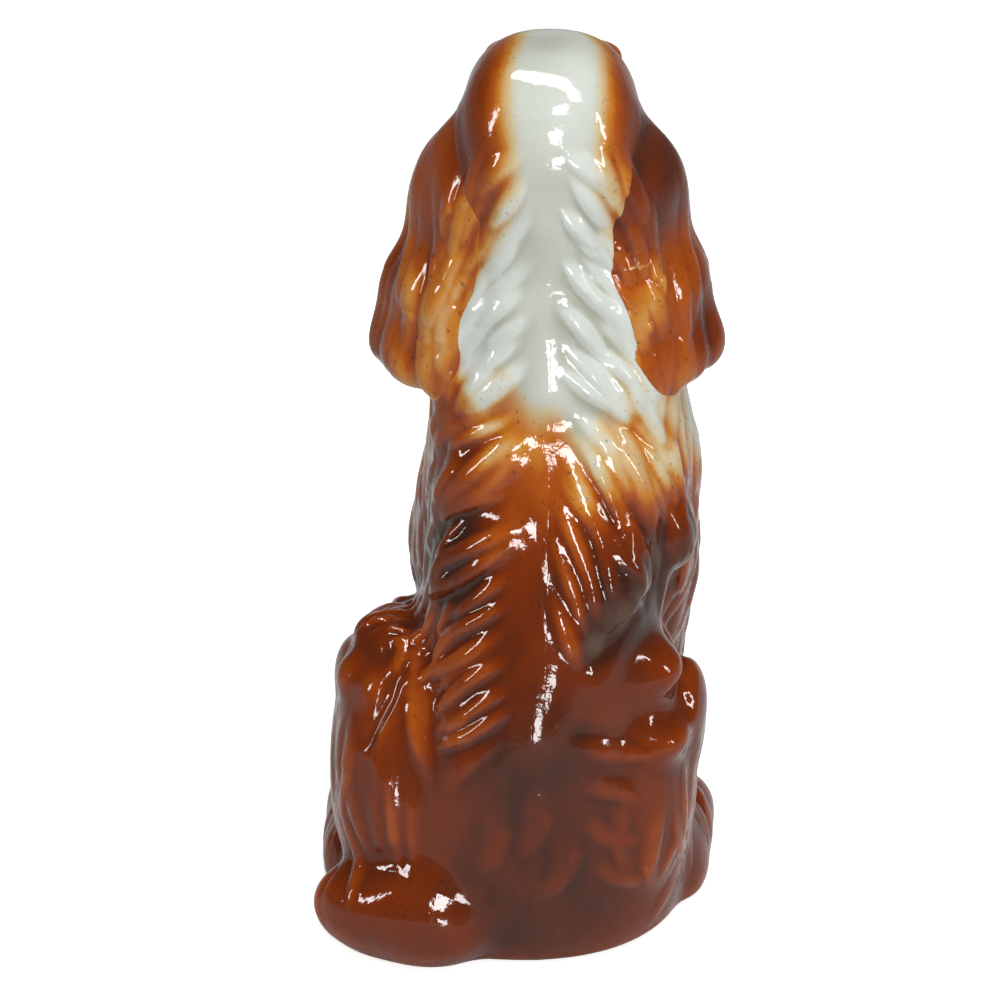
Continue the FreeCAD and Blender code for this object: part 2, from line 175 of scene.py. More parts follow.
class Field:
    """Distances on a regular grid, with the place of its lowest corner and its step, in millimetres."""

    def __init__(self, values, low, step):
        self.values = values
        self.low = np.asarray(low, dtype=float)
        self.step = step

    def box(self, low, high):
        """Slices of the grid that cover the box from low to high, or None where they miss it."""
        first = np.maximum(np.floor((np.asarray(low) - self.low) / self.step).astype(int), 0)
        last = np.minimum(np.ceil((np.asarray(high) - self.low) / self.step).astype(int) + 1,
                          self.values.shape)
        if np.any(last <= first):
            return None
        return tuple(slice(start, stop) for start, stop in zip(first, last))

    def places(self, box):
        """X, Y and Z of the grid's points in the box, as open arrays."""
        return tuple(
            (self.low[axis] + np.arange(part.start, part.stop) * self.step)
            .astype(np.float32).reshape([-1 if axis == k else 1 for k in range(3)])
            for axis, part in enumerate(box))


def triangles_of(node):
    mesh = node.data
    points = np.empty(len(mesh.vertices) * 3, np.float32)
    mesh.vertices.foreach_get("co", points)
    mesh.calc_loop_triangles()
    corners = np.empty(len(mesh.loop_triangles) * 3, np.int32)
    mesh.loop_triangles.foreach_get("vertices", corners)
    return points.reshape(-1, 3) / MM, corners.reshape(-1, 3).astype(np.uint32)


def distances(points, faces, low, shape, step):
    """Distances from a closed surface of triangles or of quads, on a grid."""
    kind = "triangles" if faces.shape[1] == 3 else "quads"
    grid = vdb.FloatGrid.createLevelSetFromPolygons(
        np.ascontiguousarray((points - low) / step, dtype=np.float32), halfWidth=BAND_STEPS,
        **{kind: np.ascontiguousarray(faces, dtype=np.uint32)})
    values = np.full(shape, BAND_STEPS, np.float32)
    grid.copyToArray(values)
    return values * np.float32(step)


def surface(field):
    """Points and quads of the field's zero surface, with the normals pointing out of the clay."""
    grid = vdb.FloatGrid(BAND_STEPS * field.step)
    grid.copyFromArray(np.ascontiguousarray(field.values, dtype=np.float32))
    points, quads = grid.convertToQuads(0.0)
    points = points.astype(float) * field.step + field.low
    return points, quads.astype(np.int64)


def softened(values, sigma_steps):
    """The values after a Gaussian blur."""
    reach = int(np.ceil(3 * sigma_steps))
    weights = np.exp(-0.5 * (np.arange(-reach, reach + 1) / sigma_steps) ** 2)
    weights = (weights / weights.sum()).astype(np.float32)
    for axis in range(3):
        widths = [(reach, reach) if k == axis else (0, 0) for k in range(3)]
        padded = np.pad(values, widths, mode="edge")
        total = np.zeros_like(values)
        for shift, weight in enumerate(weights):
            part = [slice(None)] * 3
            part[axis] = slice(shift, shift + values.shape[axis])
            total += weight * padded[tuple(part)]
        values = total
    return values


def finer(field, low, high, step):
    """The field on another grid, through a cubic B-spline, so that gloss shows no grid."""
    values = field.values
    for axis in range(3):
        count = int(np.ceil((high[axis] - low[axis]) / step)) + 1
        at = (low[axis] + np.arange(count) * step - field.low[axis]) / field.step
        cell = np.floor(at).astype(int)
        part = at - cell
        weights = ((1 - part) ** 3 / 6, (3 * part ** 3 - 6 * part ** 2 + 4) / 6,
                   (-3 * part ** 3 + 3 * part ** 2 + 3 * part + 1) / 6, part ** 3 / 6)
        shape = [-1 if k == axis else 1 for k in range(3)]
        total = 0
        for shift, weight in enumerate(weights):
            index = np.clip(cell - 1 + shift, 0, values.shape[axis] - 1)
            total = total + np.take(values, index, axis=axis) * weight.astype(np.float32).reshape(shape)
        values = total
    return Field(values, low, step)


def sample(field, points):
    """The field's values at points."""
    place = (points - field.low) / field.step
    cell = np.clip(np.floor(place).astype(np.int64), 0, np.array(field.values.shape) - 2)
    part = np.clip(place - cell, 0, 1)
    flat = field.values.ravel()
    rows, columns = field.values.shape[1:]
    index = (cell[:, 0] * rows + cell[:, 1]) * columns + cell[:, 2]
    total = np.zeros(len(points))
    for i in (0, 1):
        across = part[:, 0] if i else 1 - part[:, 0]
        for j in (0, 1):
            along = across * (part[:, 1] if j else 1 - part[:, 1])
            for k in (0, 1):
                weight = along * (part[:, 2] if k else 1 - part[:, 2])
                total += weight * flat[index + (i * rows + j) * columns + k]
    return total


def unit(vectors):
    return vectors / np.maximum(np.linalg.norm(vectors, axis=-1, keepdims=True), 1e-9)


def outward(field, points):
    """Unit vectors that point out of the clay."""
    result = np.empty_like(points)
    for axis in range(3):
        shift = np.zeros(3)
        shift[axis] = field.step
        result[:, axis] = sample(field, points + shift) - sample(field, points - shift)
    return unit(result)


def smoothstep(low, high, value):
    part = np.clip((value - low) / (high - low), 0, 1)
    return part * part * (3 - 2 * part)


# Modelling strokes: clay added to the field, or taken from it

def press(field, box, shape, blend, away=False):
    """Adds a shape's distances to the field, or takes the shape away, with a soft join."""
    sign = -1 if away else 1
    old = sign * field.values[box]
    share = np.clip(0.5 + 0.5 * (old - shape) / blend, 0, 1)
    field.values[box] = sign * (old + (shape - old) * share - blend * share * (1 - share))


def egg(field, middle, radii, turn=(0, 0, 0), blend=2.0, away=False):
    """An ellipsoid of clay, turned by degrees about X, Y and Z."""
    middle = np.asarray(middle, dtype=float)
    reach = max(radii) + 2 * blend
    box = field.box(middle - reach, middle + reach)
    if box is None:
        return
    x, y, z = field.places(box)
    offset = (x - middle[0], y - middle[1], z - middle[2])
    axes = np.array(Euler([radians(angle) for angle in turn], "XYZ").to_matrix())
    near = 0
    slope = 0
    for axis, radius in enumerate(radii):
        along = (offset[0] * axes[0, axis] + offset[1] * axes[1, axis] + offset[2] * axes[2, axis]) / radius
        near = near + along ** 2
        slope = slope + (along / radius) ** 2
    near = np.sqrt(near)
    press(field, box, near * (near - 1) / np.maximum(np.sqrt(slope), 1e-6), blend, away)


def rope(field, points, radii, blend=1.0, away=False):
    """A tapering roll of clay along straight runs between points."""
    points = np.asarray(points, dtype=float)
    radii = np.broadcast_to(np.asarray(radii, dtype=float), len(points))
    reach = max(radii) + 2 * blend
    box = field.box(points.min(axis=0) - reach, points.max(axis=0) + reach)
    if box is None:
        return
    x, y, z = field.places(box)
    best = None
    for start, end, first, last in zip(points[:-1], points[1:], radii[:-1], radii[1:]):
        run = end - start
        share = ((x - start[0]) * run[0] + (y - start[1]) * run[1] + (z - start[2]) * run[2]) / (run @ run)
        share = np.clip(share, 0, 1)
        gap = np.sqrt((x - start[0] - share * run[0]) ** 2 + (y - start[1] - share * run[1]) ** 2
                      + (z - start[2] - share * run[2]) ** 2) - (first + (last - first) * share)
        best = gap if best is None else np.minimum(best, gap)
    press(field, box, best, blend, away)


# Form of the figure, built once and used by every piece

def solid_inside(solid):
    """Points that have clay to the left, to the right, in front and behind."""
    inside = ~solid
    for axis in (0, 1):
        for way in (1, -1):
            part = [slice(None)] * 3
            part[axis] = slice(None, None, way)
            passed = np.logical_or.accumulate(solid[tuple(part)], axis=axis)[tuple(part)]
            inside &= passed
    return inside


def work_clay(settings):
    """Joins the castings into one smooth field, and notes whose clay each point is nearest to."""
    corners = np.array([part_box(name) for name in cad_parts]) / MM
    low, high = corners[:, 0].min(axis=0), corners[:, 1].max(axis=0)
    first = np.floor((low - ROOM_ROUND_FIGURE) / COARSE_STEP).astype(int)
    last = np.ceil((high + ROOM_ROUND_FIGURE) / COARSE_STEP).astype(int)
    low, shape = first * COARSE_STEP, tuple(int(count) for count in last - first + 1)
    gaps = {name: distances(*triangles_of(node), low, shape, COARSE_STEP)
            for name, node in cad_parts.items()}
    everything = reduce(np.minimum, gaps.values())
    hollow_wall = reduce(np.minimum, [gaps[name] for name in HOLLOW_PIECES])
    hollow = solid_inside(hollow_wall < JOINT_CLOSING) & (everything > 0)
    whole = np.where(hollow, -JOINT_CLOSING, everything) - JOINT_CLOSING
    points, quads = surface(Field(whole, low, COARSE_STEP))
    points, quads = largest_part(points, quads)
    whole = distances(points, quads, low, shape, COARSE_STEP)
    whole = softened(whole + JOINT_CLOSING, settings.softness / COARSE_STEP)
    clay["form"] = Field(whole, low, COARSE_STEP)
    model_figure(clay["form"])
    near_hollow = softened(hollow.astype(np.float32), 1.0) > 0.02
    clay["hollow"] = Field(np.where(near_hollow, -everything, BAND_STEPS * COARSE_STEP), low, COARSE_STEP)
    clay["nearest"] = {name: Field(gaps[name], low, COARSE_STEP) for name in gaps if name not in SLIPS}
    clay["broad"] = Field(softened(clay["form"].values, BROAD_STEPS), low, COARSE_STEP)
    clay["locks"] = carve_locks(surface(clay["form"])[0], settings)


def edges_of(quads):
    return np.concatenate([quads[:, [0, 1]], quads[:, [1, 2]], quads[:, [2, 3]], quads[:, [3, 0]]])


def largest_part(points, quads):
    """The largest piece of surface, without the loose crumbs."""
    label = np.arange(len(points))
    edges = edges_of(quads)
    while True:
        lower = np.minimum(label[edges[:, 0]], label[edges[:, 1]])
        new = label.copy()
        np.minimum.at(new, edges[:, 0], lower)
        np.minimum.at(new, edges[:, 1], lower)
        new = new[new]
        if np.array_equal(new, label):
            break
        label = new
    names, counts = np.unique(label[quads[:, 0]], return_counts=True)
    kept = label == names[np.argmax(counts)]
    place = np.cumsum(kept) - 1
    return points[kept], place[quads[kept[quads[:, 0]]]]


def model_figure(field):
    """The forms that the plain castings leave out and that more than one piece shares."""
    # The nape runs straight from the skull to the back
    rope(field, [(0, 0, 212), (0, 1, 200), (0, 0, 186), (0, 3, 170), (0, 6, 156)],
         [12, 13, 13, 12, 11], blend=8)
    # The shoulders and the breast run softly into the body
    for side in (LEFT, RIGHT):
        egg(field, (side * 28 - 3.5, -22, 110), (7.5, 15, 19), (-10, 0, 0), blend=9)
    egg(field, (0, -41, 138), (16, 9, 28), (-6, 0, 0), blend=9)
    # Upper arm that shows past the right flank, and the edge of the flank's mat over the rump
    egg(field, (-32.5, 9, 111), (8.5, 9, 10), blend=5)
    rope(field, [(-28, 28, 101), (-22, 36, 96), (-15, 42, 90)], [0.4, 0.9, 0.4], blend=6, away=True)
    # The right thigh is stacked in soft folds
    egg(field, (-27, 25, 78), (11, 10, 8), (0, 8, 0), blend=7)
    egg(field, (-29, 31, 62), (11, 10, 6), (0, -8, 0), blend=6)
    egg(field, (-39, 12, 58), (6, 13, 14), blend=6)
    rope(field, [(-12, 50, 73), (-22, 46, 70), (-32, 39, 69), (-41, 26, 67)],
         [0.5, 1.0, 1.2, 0.9], blend=5, away=True)
    # The left thigh is lumpy on top, with a wavy ridge where it meets the rump
    egg(field, (46, 12, 78), (6, 7, 5), blend=5)
    egg(field, (41, 19, 80), (5, 5, 4), blend=4)
    egg(field, (50, 22, 72), (6, 6, 6), blend=5)
    egg(field, (43, 30, 73), (5, 5, 5), blend=5)
    egg(field, (53, 8, 66), (5, 8, 8), blend=5)
    rope(field, [(33, 22, 84), (36, 33, 76.5), (42.5, 39.5, 66), (44, 41.5, 60), (42.5, 44.5, 53),
                 (44, 45.5, 46), (43, 47.5, 34)], [0.8, 1.2, 1.3, 1.1, 1.3, 1.2, 0.7], blend=3)
    rope(field, [(38, 29, 83), (40.5, 36, 74), (46, 41, 62)], [0.5, 0.9, 0.5], blend=3, away=True)
    # Root of the tail, running into the rump
    egg(field, (27, 49, 17), (17, 10, 13), (0, 0, 14), blend=8)
    # Toes of the forepaws and of the hind feet
    for side in (LEFT, RIGHT):
        for across in (-4.5, 4.5):
            paw = side * 25 - 1 + across
            rope(field, [(paw, -68, 4), (paw, -66, 9), (paw, -58, 14)],
                 [1.3, 1.3, 0.7], blend=1.6, away=True)
        for across in (-4, 4):
            foot = 8.5 + side * 45.5 + across
            rope(field, [(foot, -30.5, 3), (foot, -29, 9), (foot, -21, 14)],
                 [1.1, 1.1, 0.5], blend=1.6, away=True)


# Carved coat

def blend_of(low, high, share):
    return low + (high - low) * share


def back_fall(points):
    """Down and away from the spine: flatter on the left flank, then straight down at both borders."""
    x, z = points[:, 0], points[:, 2]
    flank = smoothstep(160, 138, z)
    slope = np.radians(np.where(x > 0, blend_of(49, 31, flank), blend_of(46, 57, flank)))
    border = smoothstep(blend_of(14, 22, flank), blend_of(27, 36, flank), np.abs(x))
    slope = blend_of(slope, np.radians(86), border * 0.9)
    side = np.tanh(x / 1.5)
    return np.stack([side * np.cos(slope), 0 * x, -np.sin(slope)], axis=1)


def breast_fall(points):
    return downward(0.45 * np.tanh(points[:, 0] / 6), 0)


def straight_fall(points):
    return downward(0 * points[:, 0], 0.12)


def thigh_fall(points):
    return downward(0, 0.5 * smoothstep(72, 40, points[:, 2]))


def downward(out, back):
    return np.stack(np.broadcast_arrays(out, back, -1.0), axis=1)


def facing(x, z, way, form=None):
    """The outermost points of a form at x and z, seen from behind (1) or from in front (-1)."""
    form = form or clay["form"]
    depths = np.arange(80, -80, -0.6) * way
    x, z = np.asarray(x, dtype=float), np.asarray(z, dtype=float)
    points = np.stack(np.broadcast_arrays(x[:, None], depths[None], z[:, None]), axis=2).reshape(-1, 3)
    inside = (sample(form, points) < 0).reshape(len(x), -1)
    found = np.nonzero(inside.any(axis=1))[0]
    first = inside.argmax(axis=1)[found]
    return np.stack([x[found], depths[first], z[found]], axis=1)


def rows(chance, sides, top, bottom, step, columns, way):
    """Seeds in rows down the figure, each row's columns staggered against the last."""
    x, z = [], []
    for side in sides:
        for row, height in enumerate(np.arange(top, bottom, -step)):
            for column in columns:
                shift = 0.25 * (row % 2) * (columns[-1] - columns[0]) / max(len(columns) - 1, 1)
                x.append(side * (column + shift + chance.uniform(-1.4, 1.4)))
                z.append(height - 0.12 * column + chance.uniform(-1.4, 1.4))
    return facing(x, z, way)


def coats(chance, skin):
    """Each coat: its roots, fall, length, half width, height and curl."""
    x, y, z = skin.T
    out = np.abs(x)
    arm = (x < 0) & (z < 132) & (y > -8)

    def roots(place, front, back, bottom, top, spacing):
        place = place & (y > front) & (y < back) & (z > bottom) & (z < top)
        return spread_seeds(skin[place], spacing, chance)

    return (
        (rows(chance, (LEFT,), 222, 160, 6.9, (4.0, 10.0, 16.0), 1), back_fall, 28.0, 3.3, 1.8, 9),
        (rows(chance, (RIGHT,), 224, 160, 7.2, (4.0, 10.0, 16.0), 1), back_fall, 30.0, 3.5, 2.3, 9),
        (rows(chance, (LEFT, RIGHT), 212, 158, 8.6, (23.0,), 1), back_fall, 28.0, 3.8, 2.0, 10),
        (rows(chance, (LEFT,), 158, 80, 6.4, (7.0,), 1), back_fall, 36.0, 3.2, 2.2, 10),
        (rows(chance, (LEFT,), 154, 92, 6.8, (18.0, 27.0), 1), back_fall, 26.0, 3.0, 2.2, 12),
        (rows(chance, (RIGHT,), 157, 132, 8.0, (5.0, 12.0, 19.0, 26.0), 1), back_fall, 40.0, 3.6, 1.9, 10),
        (roots((out > 26) & ~arm, -12, np.inf, 84, 150, 9.0), straight_fall, 34.0, 3.7, 1.7, 16),
        (rows(chance, (LEFT, RIGHT), 190, 60, 9.0, (4.0, 12.0, 20.0), -1), breast_fall, 30.0, 3.9, 1.7, 14),
        (roots(x > 36, -24, 36, 34, 70, 8.0), thigh_fall, 46.0, 3.2, 1.0, 12),
        (roots(x < -34, -24, 30, 26, 62, 9.0), thigh_fall, 40.0, 3.6, 0.9, 20),
        (roots(out > 23, -np.inf, 12, 160, 214, 10.5), straight_fall, 66.0, 4.8, 1.5, 12),
        (roots(out > 12, -np.inf, -8, 34, 108, 8.5), straight_fall, 34.0, 3.4, 1.0, 12),
    )


# Locks placed one by one on the back: X and Z of each point, then half width and height
STROKES = (
    ((-4, 145), (-11, 133), (-16, 121), (-19, 110), (-20, 98), 3.6, 2.2),
    ((-3, 134), (-8, 123), (-13, 113), (-15, 104), (-16, 95), 3.5, 2.1),
    ((-3, 123), (-7, 113), (-11, 104), (-12, 94), 3.4, 1.7),
    ((-8, 150), (-15, 139), (-20, 128), (-23, 116), (-24, 104), 3.6, 2.2),
    ((-14, 152), (-22, 141), (-27, 130), (-29, 119), (-28, 108), 3.6, 2.2),
    ((-20, 150), (-27, 139), (-32, 129), (-33, 117), 3.4, 2.1),
    ((-2, 112), (-6, 103), (-9, 95), (-10, 88), 3.6, 1.2),
    ((9, 97), (17, 90), (25, 82), (30, 75), 3.6, 1.3),
    ((10, 87), (18, 80), (25, 72), (30, 64), 3.6, 1.0),
    ((9, 76), (15, 69), (22, 61), (26, 52), 4.2, 0.7),
    ((51, 70), (51, 57), (54, 43), (55, 30), 3.4, 1.2),
    ((39.5, 62), (39, 50), (38.5, 38), (37.5, 27), 3.0, 1.2),
    ((35, 60), (34.5, 49), (34, 38), (33, 29), 3.0, 0.8),
    ((-9, 72), (-16, 66), (-24, 62), (-32, 60), 3.4, 0.8),
    ((-8, 60), (-15, 57), (-22, 53), (-27, 46), 3.6, 0.8),
    ((-12, 50), (-16, 43), (-23, 38), (-29, 36), 3.4, 0.8),
    ((-24, 56), (-21, 45), (-22, 34), (-25, 24), 3.4, 0.7),
    ((-33, 50), (-31, 39), (-29, 28), (-31, 17), 3.4, 0.9),
    ((-37, 48), (-37, 36), (-39, 24), (-42, 12), 3.6, 0.9),
    ((-14, 38), (-18, 30), (-25, 25), (-30, 22), 3.2, 0.7),
    ((-6, 48), (-9, 38), (-5, 29), (2, 24), 4.4, 0.6),
    ((2, 62), (-1, 52), (2, 43), (7, 36), 4.6, 0.5),
    ((12, 58), (10, 48), (12, 38), (18, 31), 4.6, 0.5),
)


def stroke_line(stroke):
    """Points of a placed lock, evenly spread along its smooth line on the back."""
    corners = np.array(stroke[:-2], dtype=float)
    share = np.linspace(0, len(corners) - 1, LOCK_POINTS)
    spots = np.arange(len(corners))
    x, z = (np.interp(share, spots, corners[:, axis]) for axis in (0, 1))
    for _ in range(3):
        x[1:-1] = 0.5 * x[1:-1] + 0.25 * (x[:-2] + x[2:])
        z[1:-1] = 0.5 * z[1:-1] + 0.25 * (z[:-2] + z[2:])
    return facing(x, z, 1)


def spread_seeds(points, spacing, chance):
    """Points about a spacing apart, chosen in a fixed random order."""
    order = chance.permutation(len(points))
    points = points[order]
    cells = np.floor((points + chance.uniform(0, spacing, 3)) / (spacing * 0.75)).astype(np.int64)
    keys = cells[:, 0] * 1000003 + cells[:, 1] * 1009 + cells[:, 2]
    points = points[np.sort(np.unique(keys, return_index=True)[1])]
    kept = []
    for point in points:
        if not kept or np.min(np.sum((np.array(kept) - point) ** 2, axis=1)) > (0.72 * spacing) ** 2:
            kept.append(point)
    return np.array(kept)


def carve_locks(skin, settings):
    """Centre lines, widths and heights of all the locks, laid on the figure's surface."""
    form = clay["form"]
    chance = np.random.default_rng(settings.seed)
    locks = []
    for point, fall, length, half_width, height, curl in coats(chance, skin):
        count = len(point)
        size = chance.uniform(0.8, 1.2, count)
        phase = chance.uniform(-np.pi, np.pi, count)
        lift = chance.uniform(0.65, 1.15, count)
        step = length * size / (LOCK_POINTS - 1)
        line, normals = [], []
        for k in range(LOCK_POINTS):
            point = point - outward(form, point) * sample(form, point)[:, None]
            normal = outward(form, point)
            line.append(point)
            normals.append(normal)
            way = fall(point)
            way = unit(way - normal * np.sum(way * normal, axis=1, keepdims=True))
            angle = np.radians(curl) * np.sin(phase + 1.5 * np.pi * k / LOCK_POINTS)
            way = way * np.cos(angle)[:, None] + np.cross(normal, way) * np.sin(angle)[:, None]
            point = point + way * step[:, None]
        line = np.stack(line, axis=1)
        normals = np.stack(normals, axis=1)
        for k in range(count):
            if line[k, :, 2].min() > 1:
                locks.append((line[k], normals[k], half_width * size[k], height * lift[k]))
    for stroke in STROKES:
        line = stroke_line(stroke)
        if len(line) == LOCK_POINTS:
            locks.append((line, outward(form, line), *stroke[-2:]))
    return locks


def lock_relief(points):
    """How far the carving raises each point, in millimetres."""
    raised = np.zeros(len(points))
    low, high = points.min(axis=0), points.max(axis=0)
    share = np.linspace(0, 1, LOCK_POINTS)
    for line, normals, half_width, height in clay["locks"]:
        if np.any(line.max(axis=0) + half_width < low) or np.any(line.min(axis=0) - half_width > high):
            continue
        inside = (points > line.min(axis=0) - half_width) & (points < line.max(axis=0) + half_width)
        near = np.nonzero(np.all(inside, axis=1))[0]
        if not len(near):
            continue
        runs = line[1:] - line[:-1]
        offset = points[near][:, None, :] - line[None, :-1, :]
        part = np.clip(np.sum(offset * runs[None], axis=2) / np.sum(runs * runs, axis=1)[None], 0, 1)
        offset = offset - part[..., None] * runs[None]
        squared = np.sum(offset ** 2, axis=2)
        best = np.argmin(squared, axis=1)
        row = np.arange(len(near))
        offset, part = offset[row, best], part[row, best]
        normal = normals[best]
        lateral = np.cross(normal, unit(runs[best]))
        lateral = lateral * np.where(lateral[:, 2:] > 0, -1, 1)
        across = np.sum(offset * lateral, axis=1)
        depth = np.abs(np.sum(offset * normal, axis=1))
        along = share[best] + part / (LOCK_POINTS - 1)
        width = half_width * np.maximum(np.sin(np.pi * along ** 0.8), 0) ** 0.5 + 0.05
        across = across / width
        slope = np.minimum((1 + across) / (1 + LOCK_CREST), (1 - across) / (1 - LOCK_CREST))
        slope = np.clip(slope, 0, 1)
        rise = smoothstep(0, 0.5, along) * smoothstep(1.0, 0.64, along)
        value = np.where(depth < LOCK_DEPTH, height * rise * (1 - (1 - slope) ** 2), 0)
        raised[near] = np.maximum(raised[near], value)
    return raised


def hand_waves(points):
    """Slight unevenness of a surface worked by hand, in millimetres."""
    x, y, z = points.T
    return (np.sin(x / 4.1 + 0.9 * np.sin(z / 9.3)) * np.sin(z / 5.7 + 1.3 + 0.7 * np.sin(y / 7.9))
            + 0.6 * np.sin(y / 3.7 + z / 8.3) * np.sin(x / 6.1 - z / 4.9 + 0.4))


def averaged(values, quads, rounds):
    """The values after each point has taken its neighbours' mean, some rounds over."""
    first, second = edges_of(quads).T
    count = len(values)
    degree = np.bincount(first, minlength=count) + np.bincount(second, minlength=count)
    for _ in range(rounds):
        total = (np.bincount(first, weights=values[second], minlength=count)
                 + np.bincount(second, weights=values[first], minlength=count))
        values = 0.5 * values + 0.5 * total / np.maximum(degree, 1)
    return values


# Paint under the glaze

def coat_warmth(points):
    """How far the colour has gone from white, 0, through orange, 0.5, to dark brown, 1."""
    x, y, z = points.T
    front = smoothstep(-2, -28, y)
    behind = 1 - front
    right = smoothstep(-12, -24, x)
    edge = BACK_EDGE + np.interp(x, (-40, -25, -10, 0, 12, 25), (-12, -8, -2, 0, 4, 7))
    edge = blend_of(edge, BREAST_EDGE, front)
    edge = edge + 3.5 * np.sin(x / 4.3 + 1.2 * np.sin(z / 7)) + 2.5 * np.sin(x / 1.9 + y / 6)
    fade = np.clip((edge + 12 + 8 * right * behind - z) / blend_of(30 + 12 * right, 34, front), 0, 1)
    # Darker places: the left flank, the mat of coat on the right one, and all the lower body
    flank = smoothstep(8, 24, x) * smoothstep(88, 104, z) * smoothstep(-10, 8, y)
    mat = smoothstep(-6, -20, x) * smoothstep(136, 118, z) * smoothstep(84, 98, z) * smoothstep(-8, 6, y)
    deep = 0.4 * fade + 0.4 * mat + 0.34 * flank
    deep = deep + 0.25 * smoothstep(134, 104, z) + 0.16 * smoothstep(100, 60, z)
    deep = deep - 0.15 * smoothstep(8, 30, np.abs(x)) * smoothstep(84, 70, z)
    cream = 0.1 * right * behind * smoothstep(176, 152, z) * smoothstep(120, 138, z)
    return np.maximum(deep * smoothstep(0, 0.34, fade) + cream, side_patch(points))


def side_patch(points):
    """The coloured sides of the head, which run down the neck behind the ears."""
    x, y, z = points.T
    front = smoothstep(-14, -30, y)
    behind = 1 - front
    edge = blend_of(np.where(x > 0, 10, 15.5), 9, front) + 1.1 * np.sin(z / 5.3 + y / 7)
    edge = edge + 13 * smoothstep(202, 172, z) * behind
    strength = np.maximum(0.6 * smoothstep(164, 186, z), 0.3 * smoothstep(140, 154, z) * behind)
    return strength * smoothstep(-5, 8, np.abs(x) - edge)


def coat_opal(points):
    """Where thick glaze has gone milky: the tips of the right flank's mat and the left flank's border."""
    tips = 0
    for middle, reach in (((-20, 33, 101), 8), ((-27, 23, 111), 6), ((-24, 30, 104), 7), ((-15, 40, 94), 5)):
        tips = np.maximum(tips, smoothstep(reach, reach * 0.3, np.linalg.norm(points - middle, axis=1)))
    x, y, z = points.T
    border = smoothstep(26, 32, x) * smoothstep(-4, 4, y) * smoothstep(86, 96, z) * smoothstep(138, 126, z)
    return np.maximum(0.36 * tips, 0.3 * border)


def head_warmth(points):
    """The side patches, which end behind the muzzle, and the amber eyes."""
    patch = side_patch(points) * (1 - smoothstep(-42, -52, points[:, 1]))
    for side in (LEFT, RIGHT):
        patch = blend_of(patch, 0.36, smoothstep(EYE_RADIUS, EYE_RADIUS - 0.4, eye_gap(points, side)))
    return patch


def ear_warmth(points):
    """Blotched chestnut, darker at the outer edge and on the right ear, above all at its top."""
    x, y, z = points.T
    out = np.abs(x)
    blotch = np.sin(z / 6.5 + 1.5 * np.sin(x / 4)) * np.sin(y / 5 + z / 11)
    right = (x < 0) * (0.07 + 0.2 * smoothstep(186, 200, z))
    inner = smoothstep(210, 180, z) * smoothstep(40, 34, out)
    return 0.5 + 0.1 * blotch + right + 0.14 * smoothstep(38, 44, out) - 0.08 * inner


def eye_gap(points, side):
    """How far each point near an eye lies from the eye's middle, seen from in front."""
    x, y, z = points.T
    away = (y > EYE_FORWARD + 2) | (y < EYE_FORWARD - 10)
    return np.hypot(x - side * EYE_OUT, z - EYE_HEIGHT) + 100 * away


def face_ink(points):
    """Where the head is painted black: the nose, the pupils and the rims of the eyes."""
    ink = smoothstep(1.15, 1.0, np.linalg.norm((points - NOSE_MIDDLE) / NOSE_RADII, axis=1))
    for side in (LEFT, RIGHT):
        gap = eye_gap(points, side)
        pupil = smoothstep(PUPIL_RADIUS + 0.3, PUPIL_RADIUS - 0.3, gap)
        rim = smoothstep(EYE_RADIUS - 1.1, EYE_RADIUS - 0.5, gap)
        rim = rim * smoothstep(EYE_RADIUS + 0.6, EYE_RADIUS, gap)
        ink = np.maximum.reduce([ink, pupil, rim])
    return ink


PAINT = {"coat": coat_warmth, "head": head_warmth, "ear": ear_warmth}


# Meshes

def mesh_object(name, points, quads):
    mesh = bpy.data.meshes.new(name)
    mesh.vertices.add(len(points))
    mesh.vertices.foreach_set("co", (points * MM).astype(np.float32).ravel())
    mesh.loops.add(len(quads) * 4)
    mesh.loops.foreach_set("vertex_index", quads.astype(np.int32).ravel())
    mesh.polygons.add(len(quads))
    mesh.polygons.foreach_set("loop_start", np.arange(0, len(quads) * 4, 4, dtype=np.int32))
    mesh.update(calc_edges=True)
    mesh.shade_smooth()
    mesh.validate()
    piece = bpy.data.objects.new(name, mesh)
    bpy.context.scene.collection.objects.link(piece)
    return piece


def layer(piece, name, values):
    attribute = piece.data.attributes.new(name, "FLOAT", "POINT")
    attribute.data.foreach_set("value", values.astype(np.float32))


def cast(node, kind, step):
    """Makes the piece of the figure that stands for a casting, and dips it under its neighbours."""
    low, high = (np.array(corner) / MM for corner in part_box(node))
    low = np.floor((low - ROOM_ROUND_CASTING) / step) * step
    high = high + ROOM_ROUND_CASTING
    field = finer(clay["form"], low, high, step)
    if kind == "head":
        model_face(field)
    around = clay["form"].box(low - 4 * COARSE_STEP, high + 4 * COARSE_STEP)
    corner = clay["form"].low + np.array([part.start for part in around]) * COARSE_STEP
    rivals = [gaps.values[around] for name, gaps in clay["nearest"].items()
              if name not in (node, "base_floor")]
    lead = clay["nearest"][node].values[around] - np.minimum.reduce(rivals)
    lead = finer(Field(lead, corner, COARSE_STEP), low, high, step).values
    values = np.maximum(field.values + DIP * np.maximum(lead, 0) ** 2, lead - DIP_END)
    if node in SHELLS:
        for inside in (clay["hollow"], clay["nearest"]["base_floor"]):
            values = np.maximum(values, -finer(inside, low, high, step).values)
    points, quads = largest_part(*surface(Field(values, low, step)))
    points, raised = carved(field, points, quads, kind)
    points[:, 2] = np.maximum(points[:, 2], 0)
    return stand_in(node, points, quads, raised, kind)


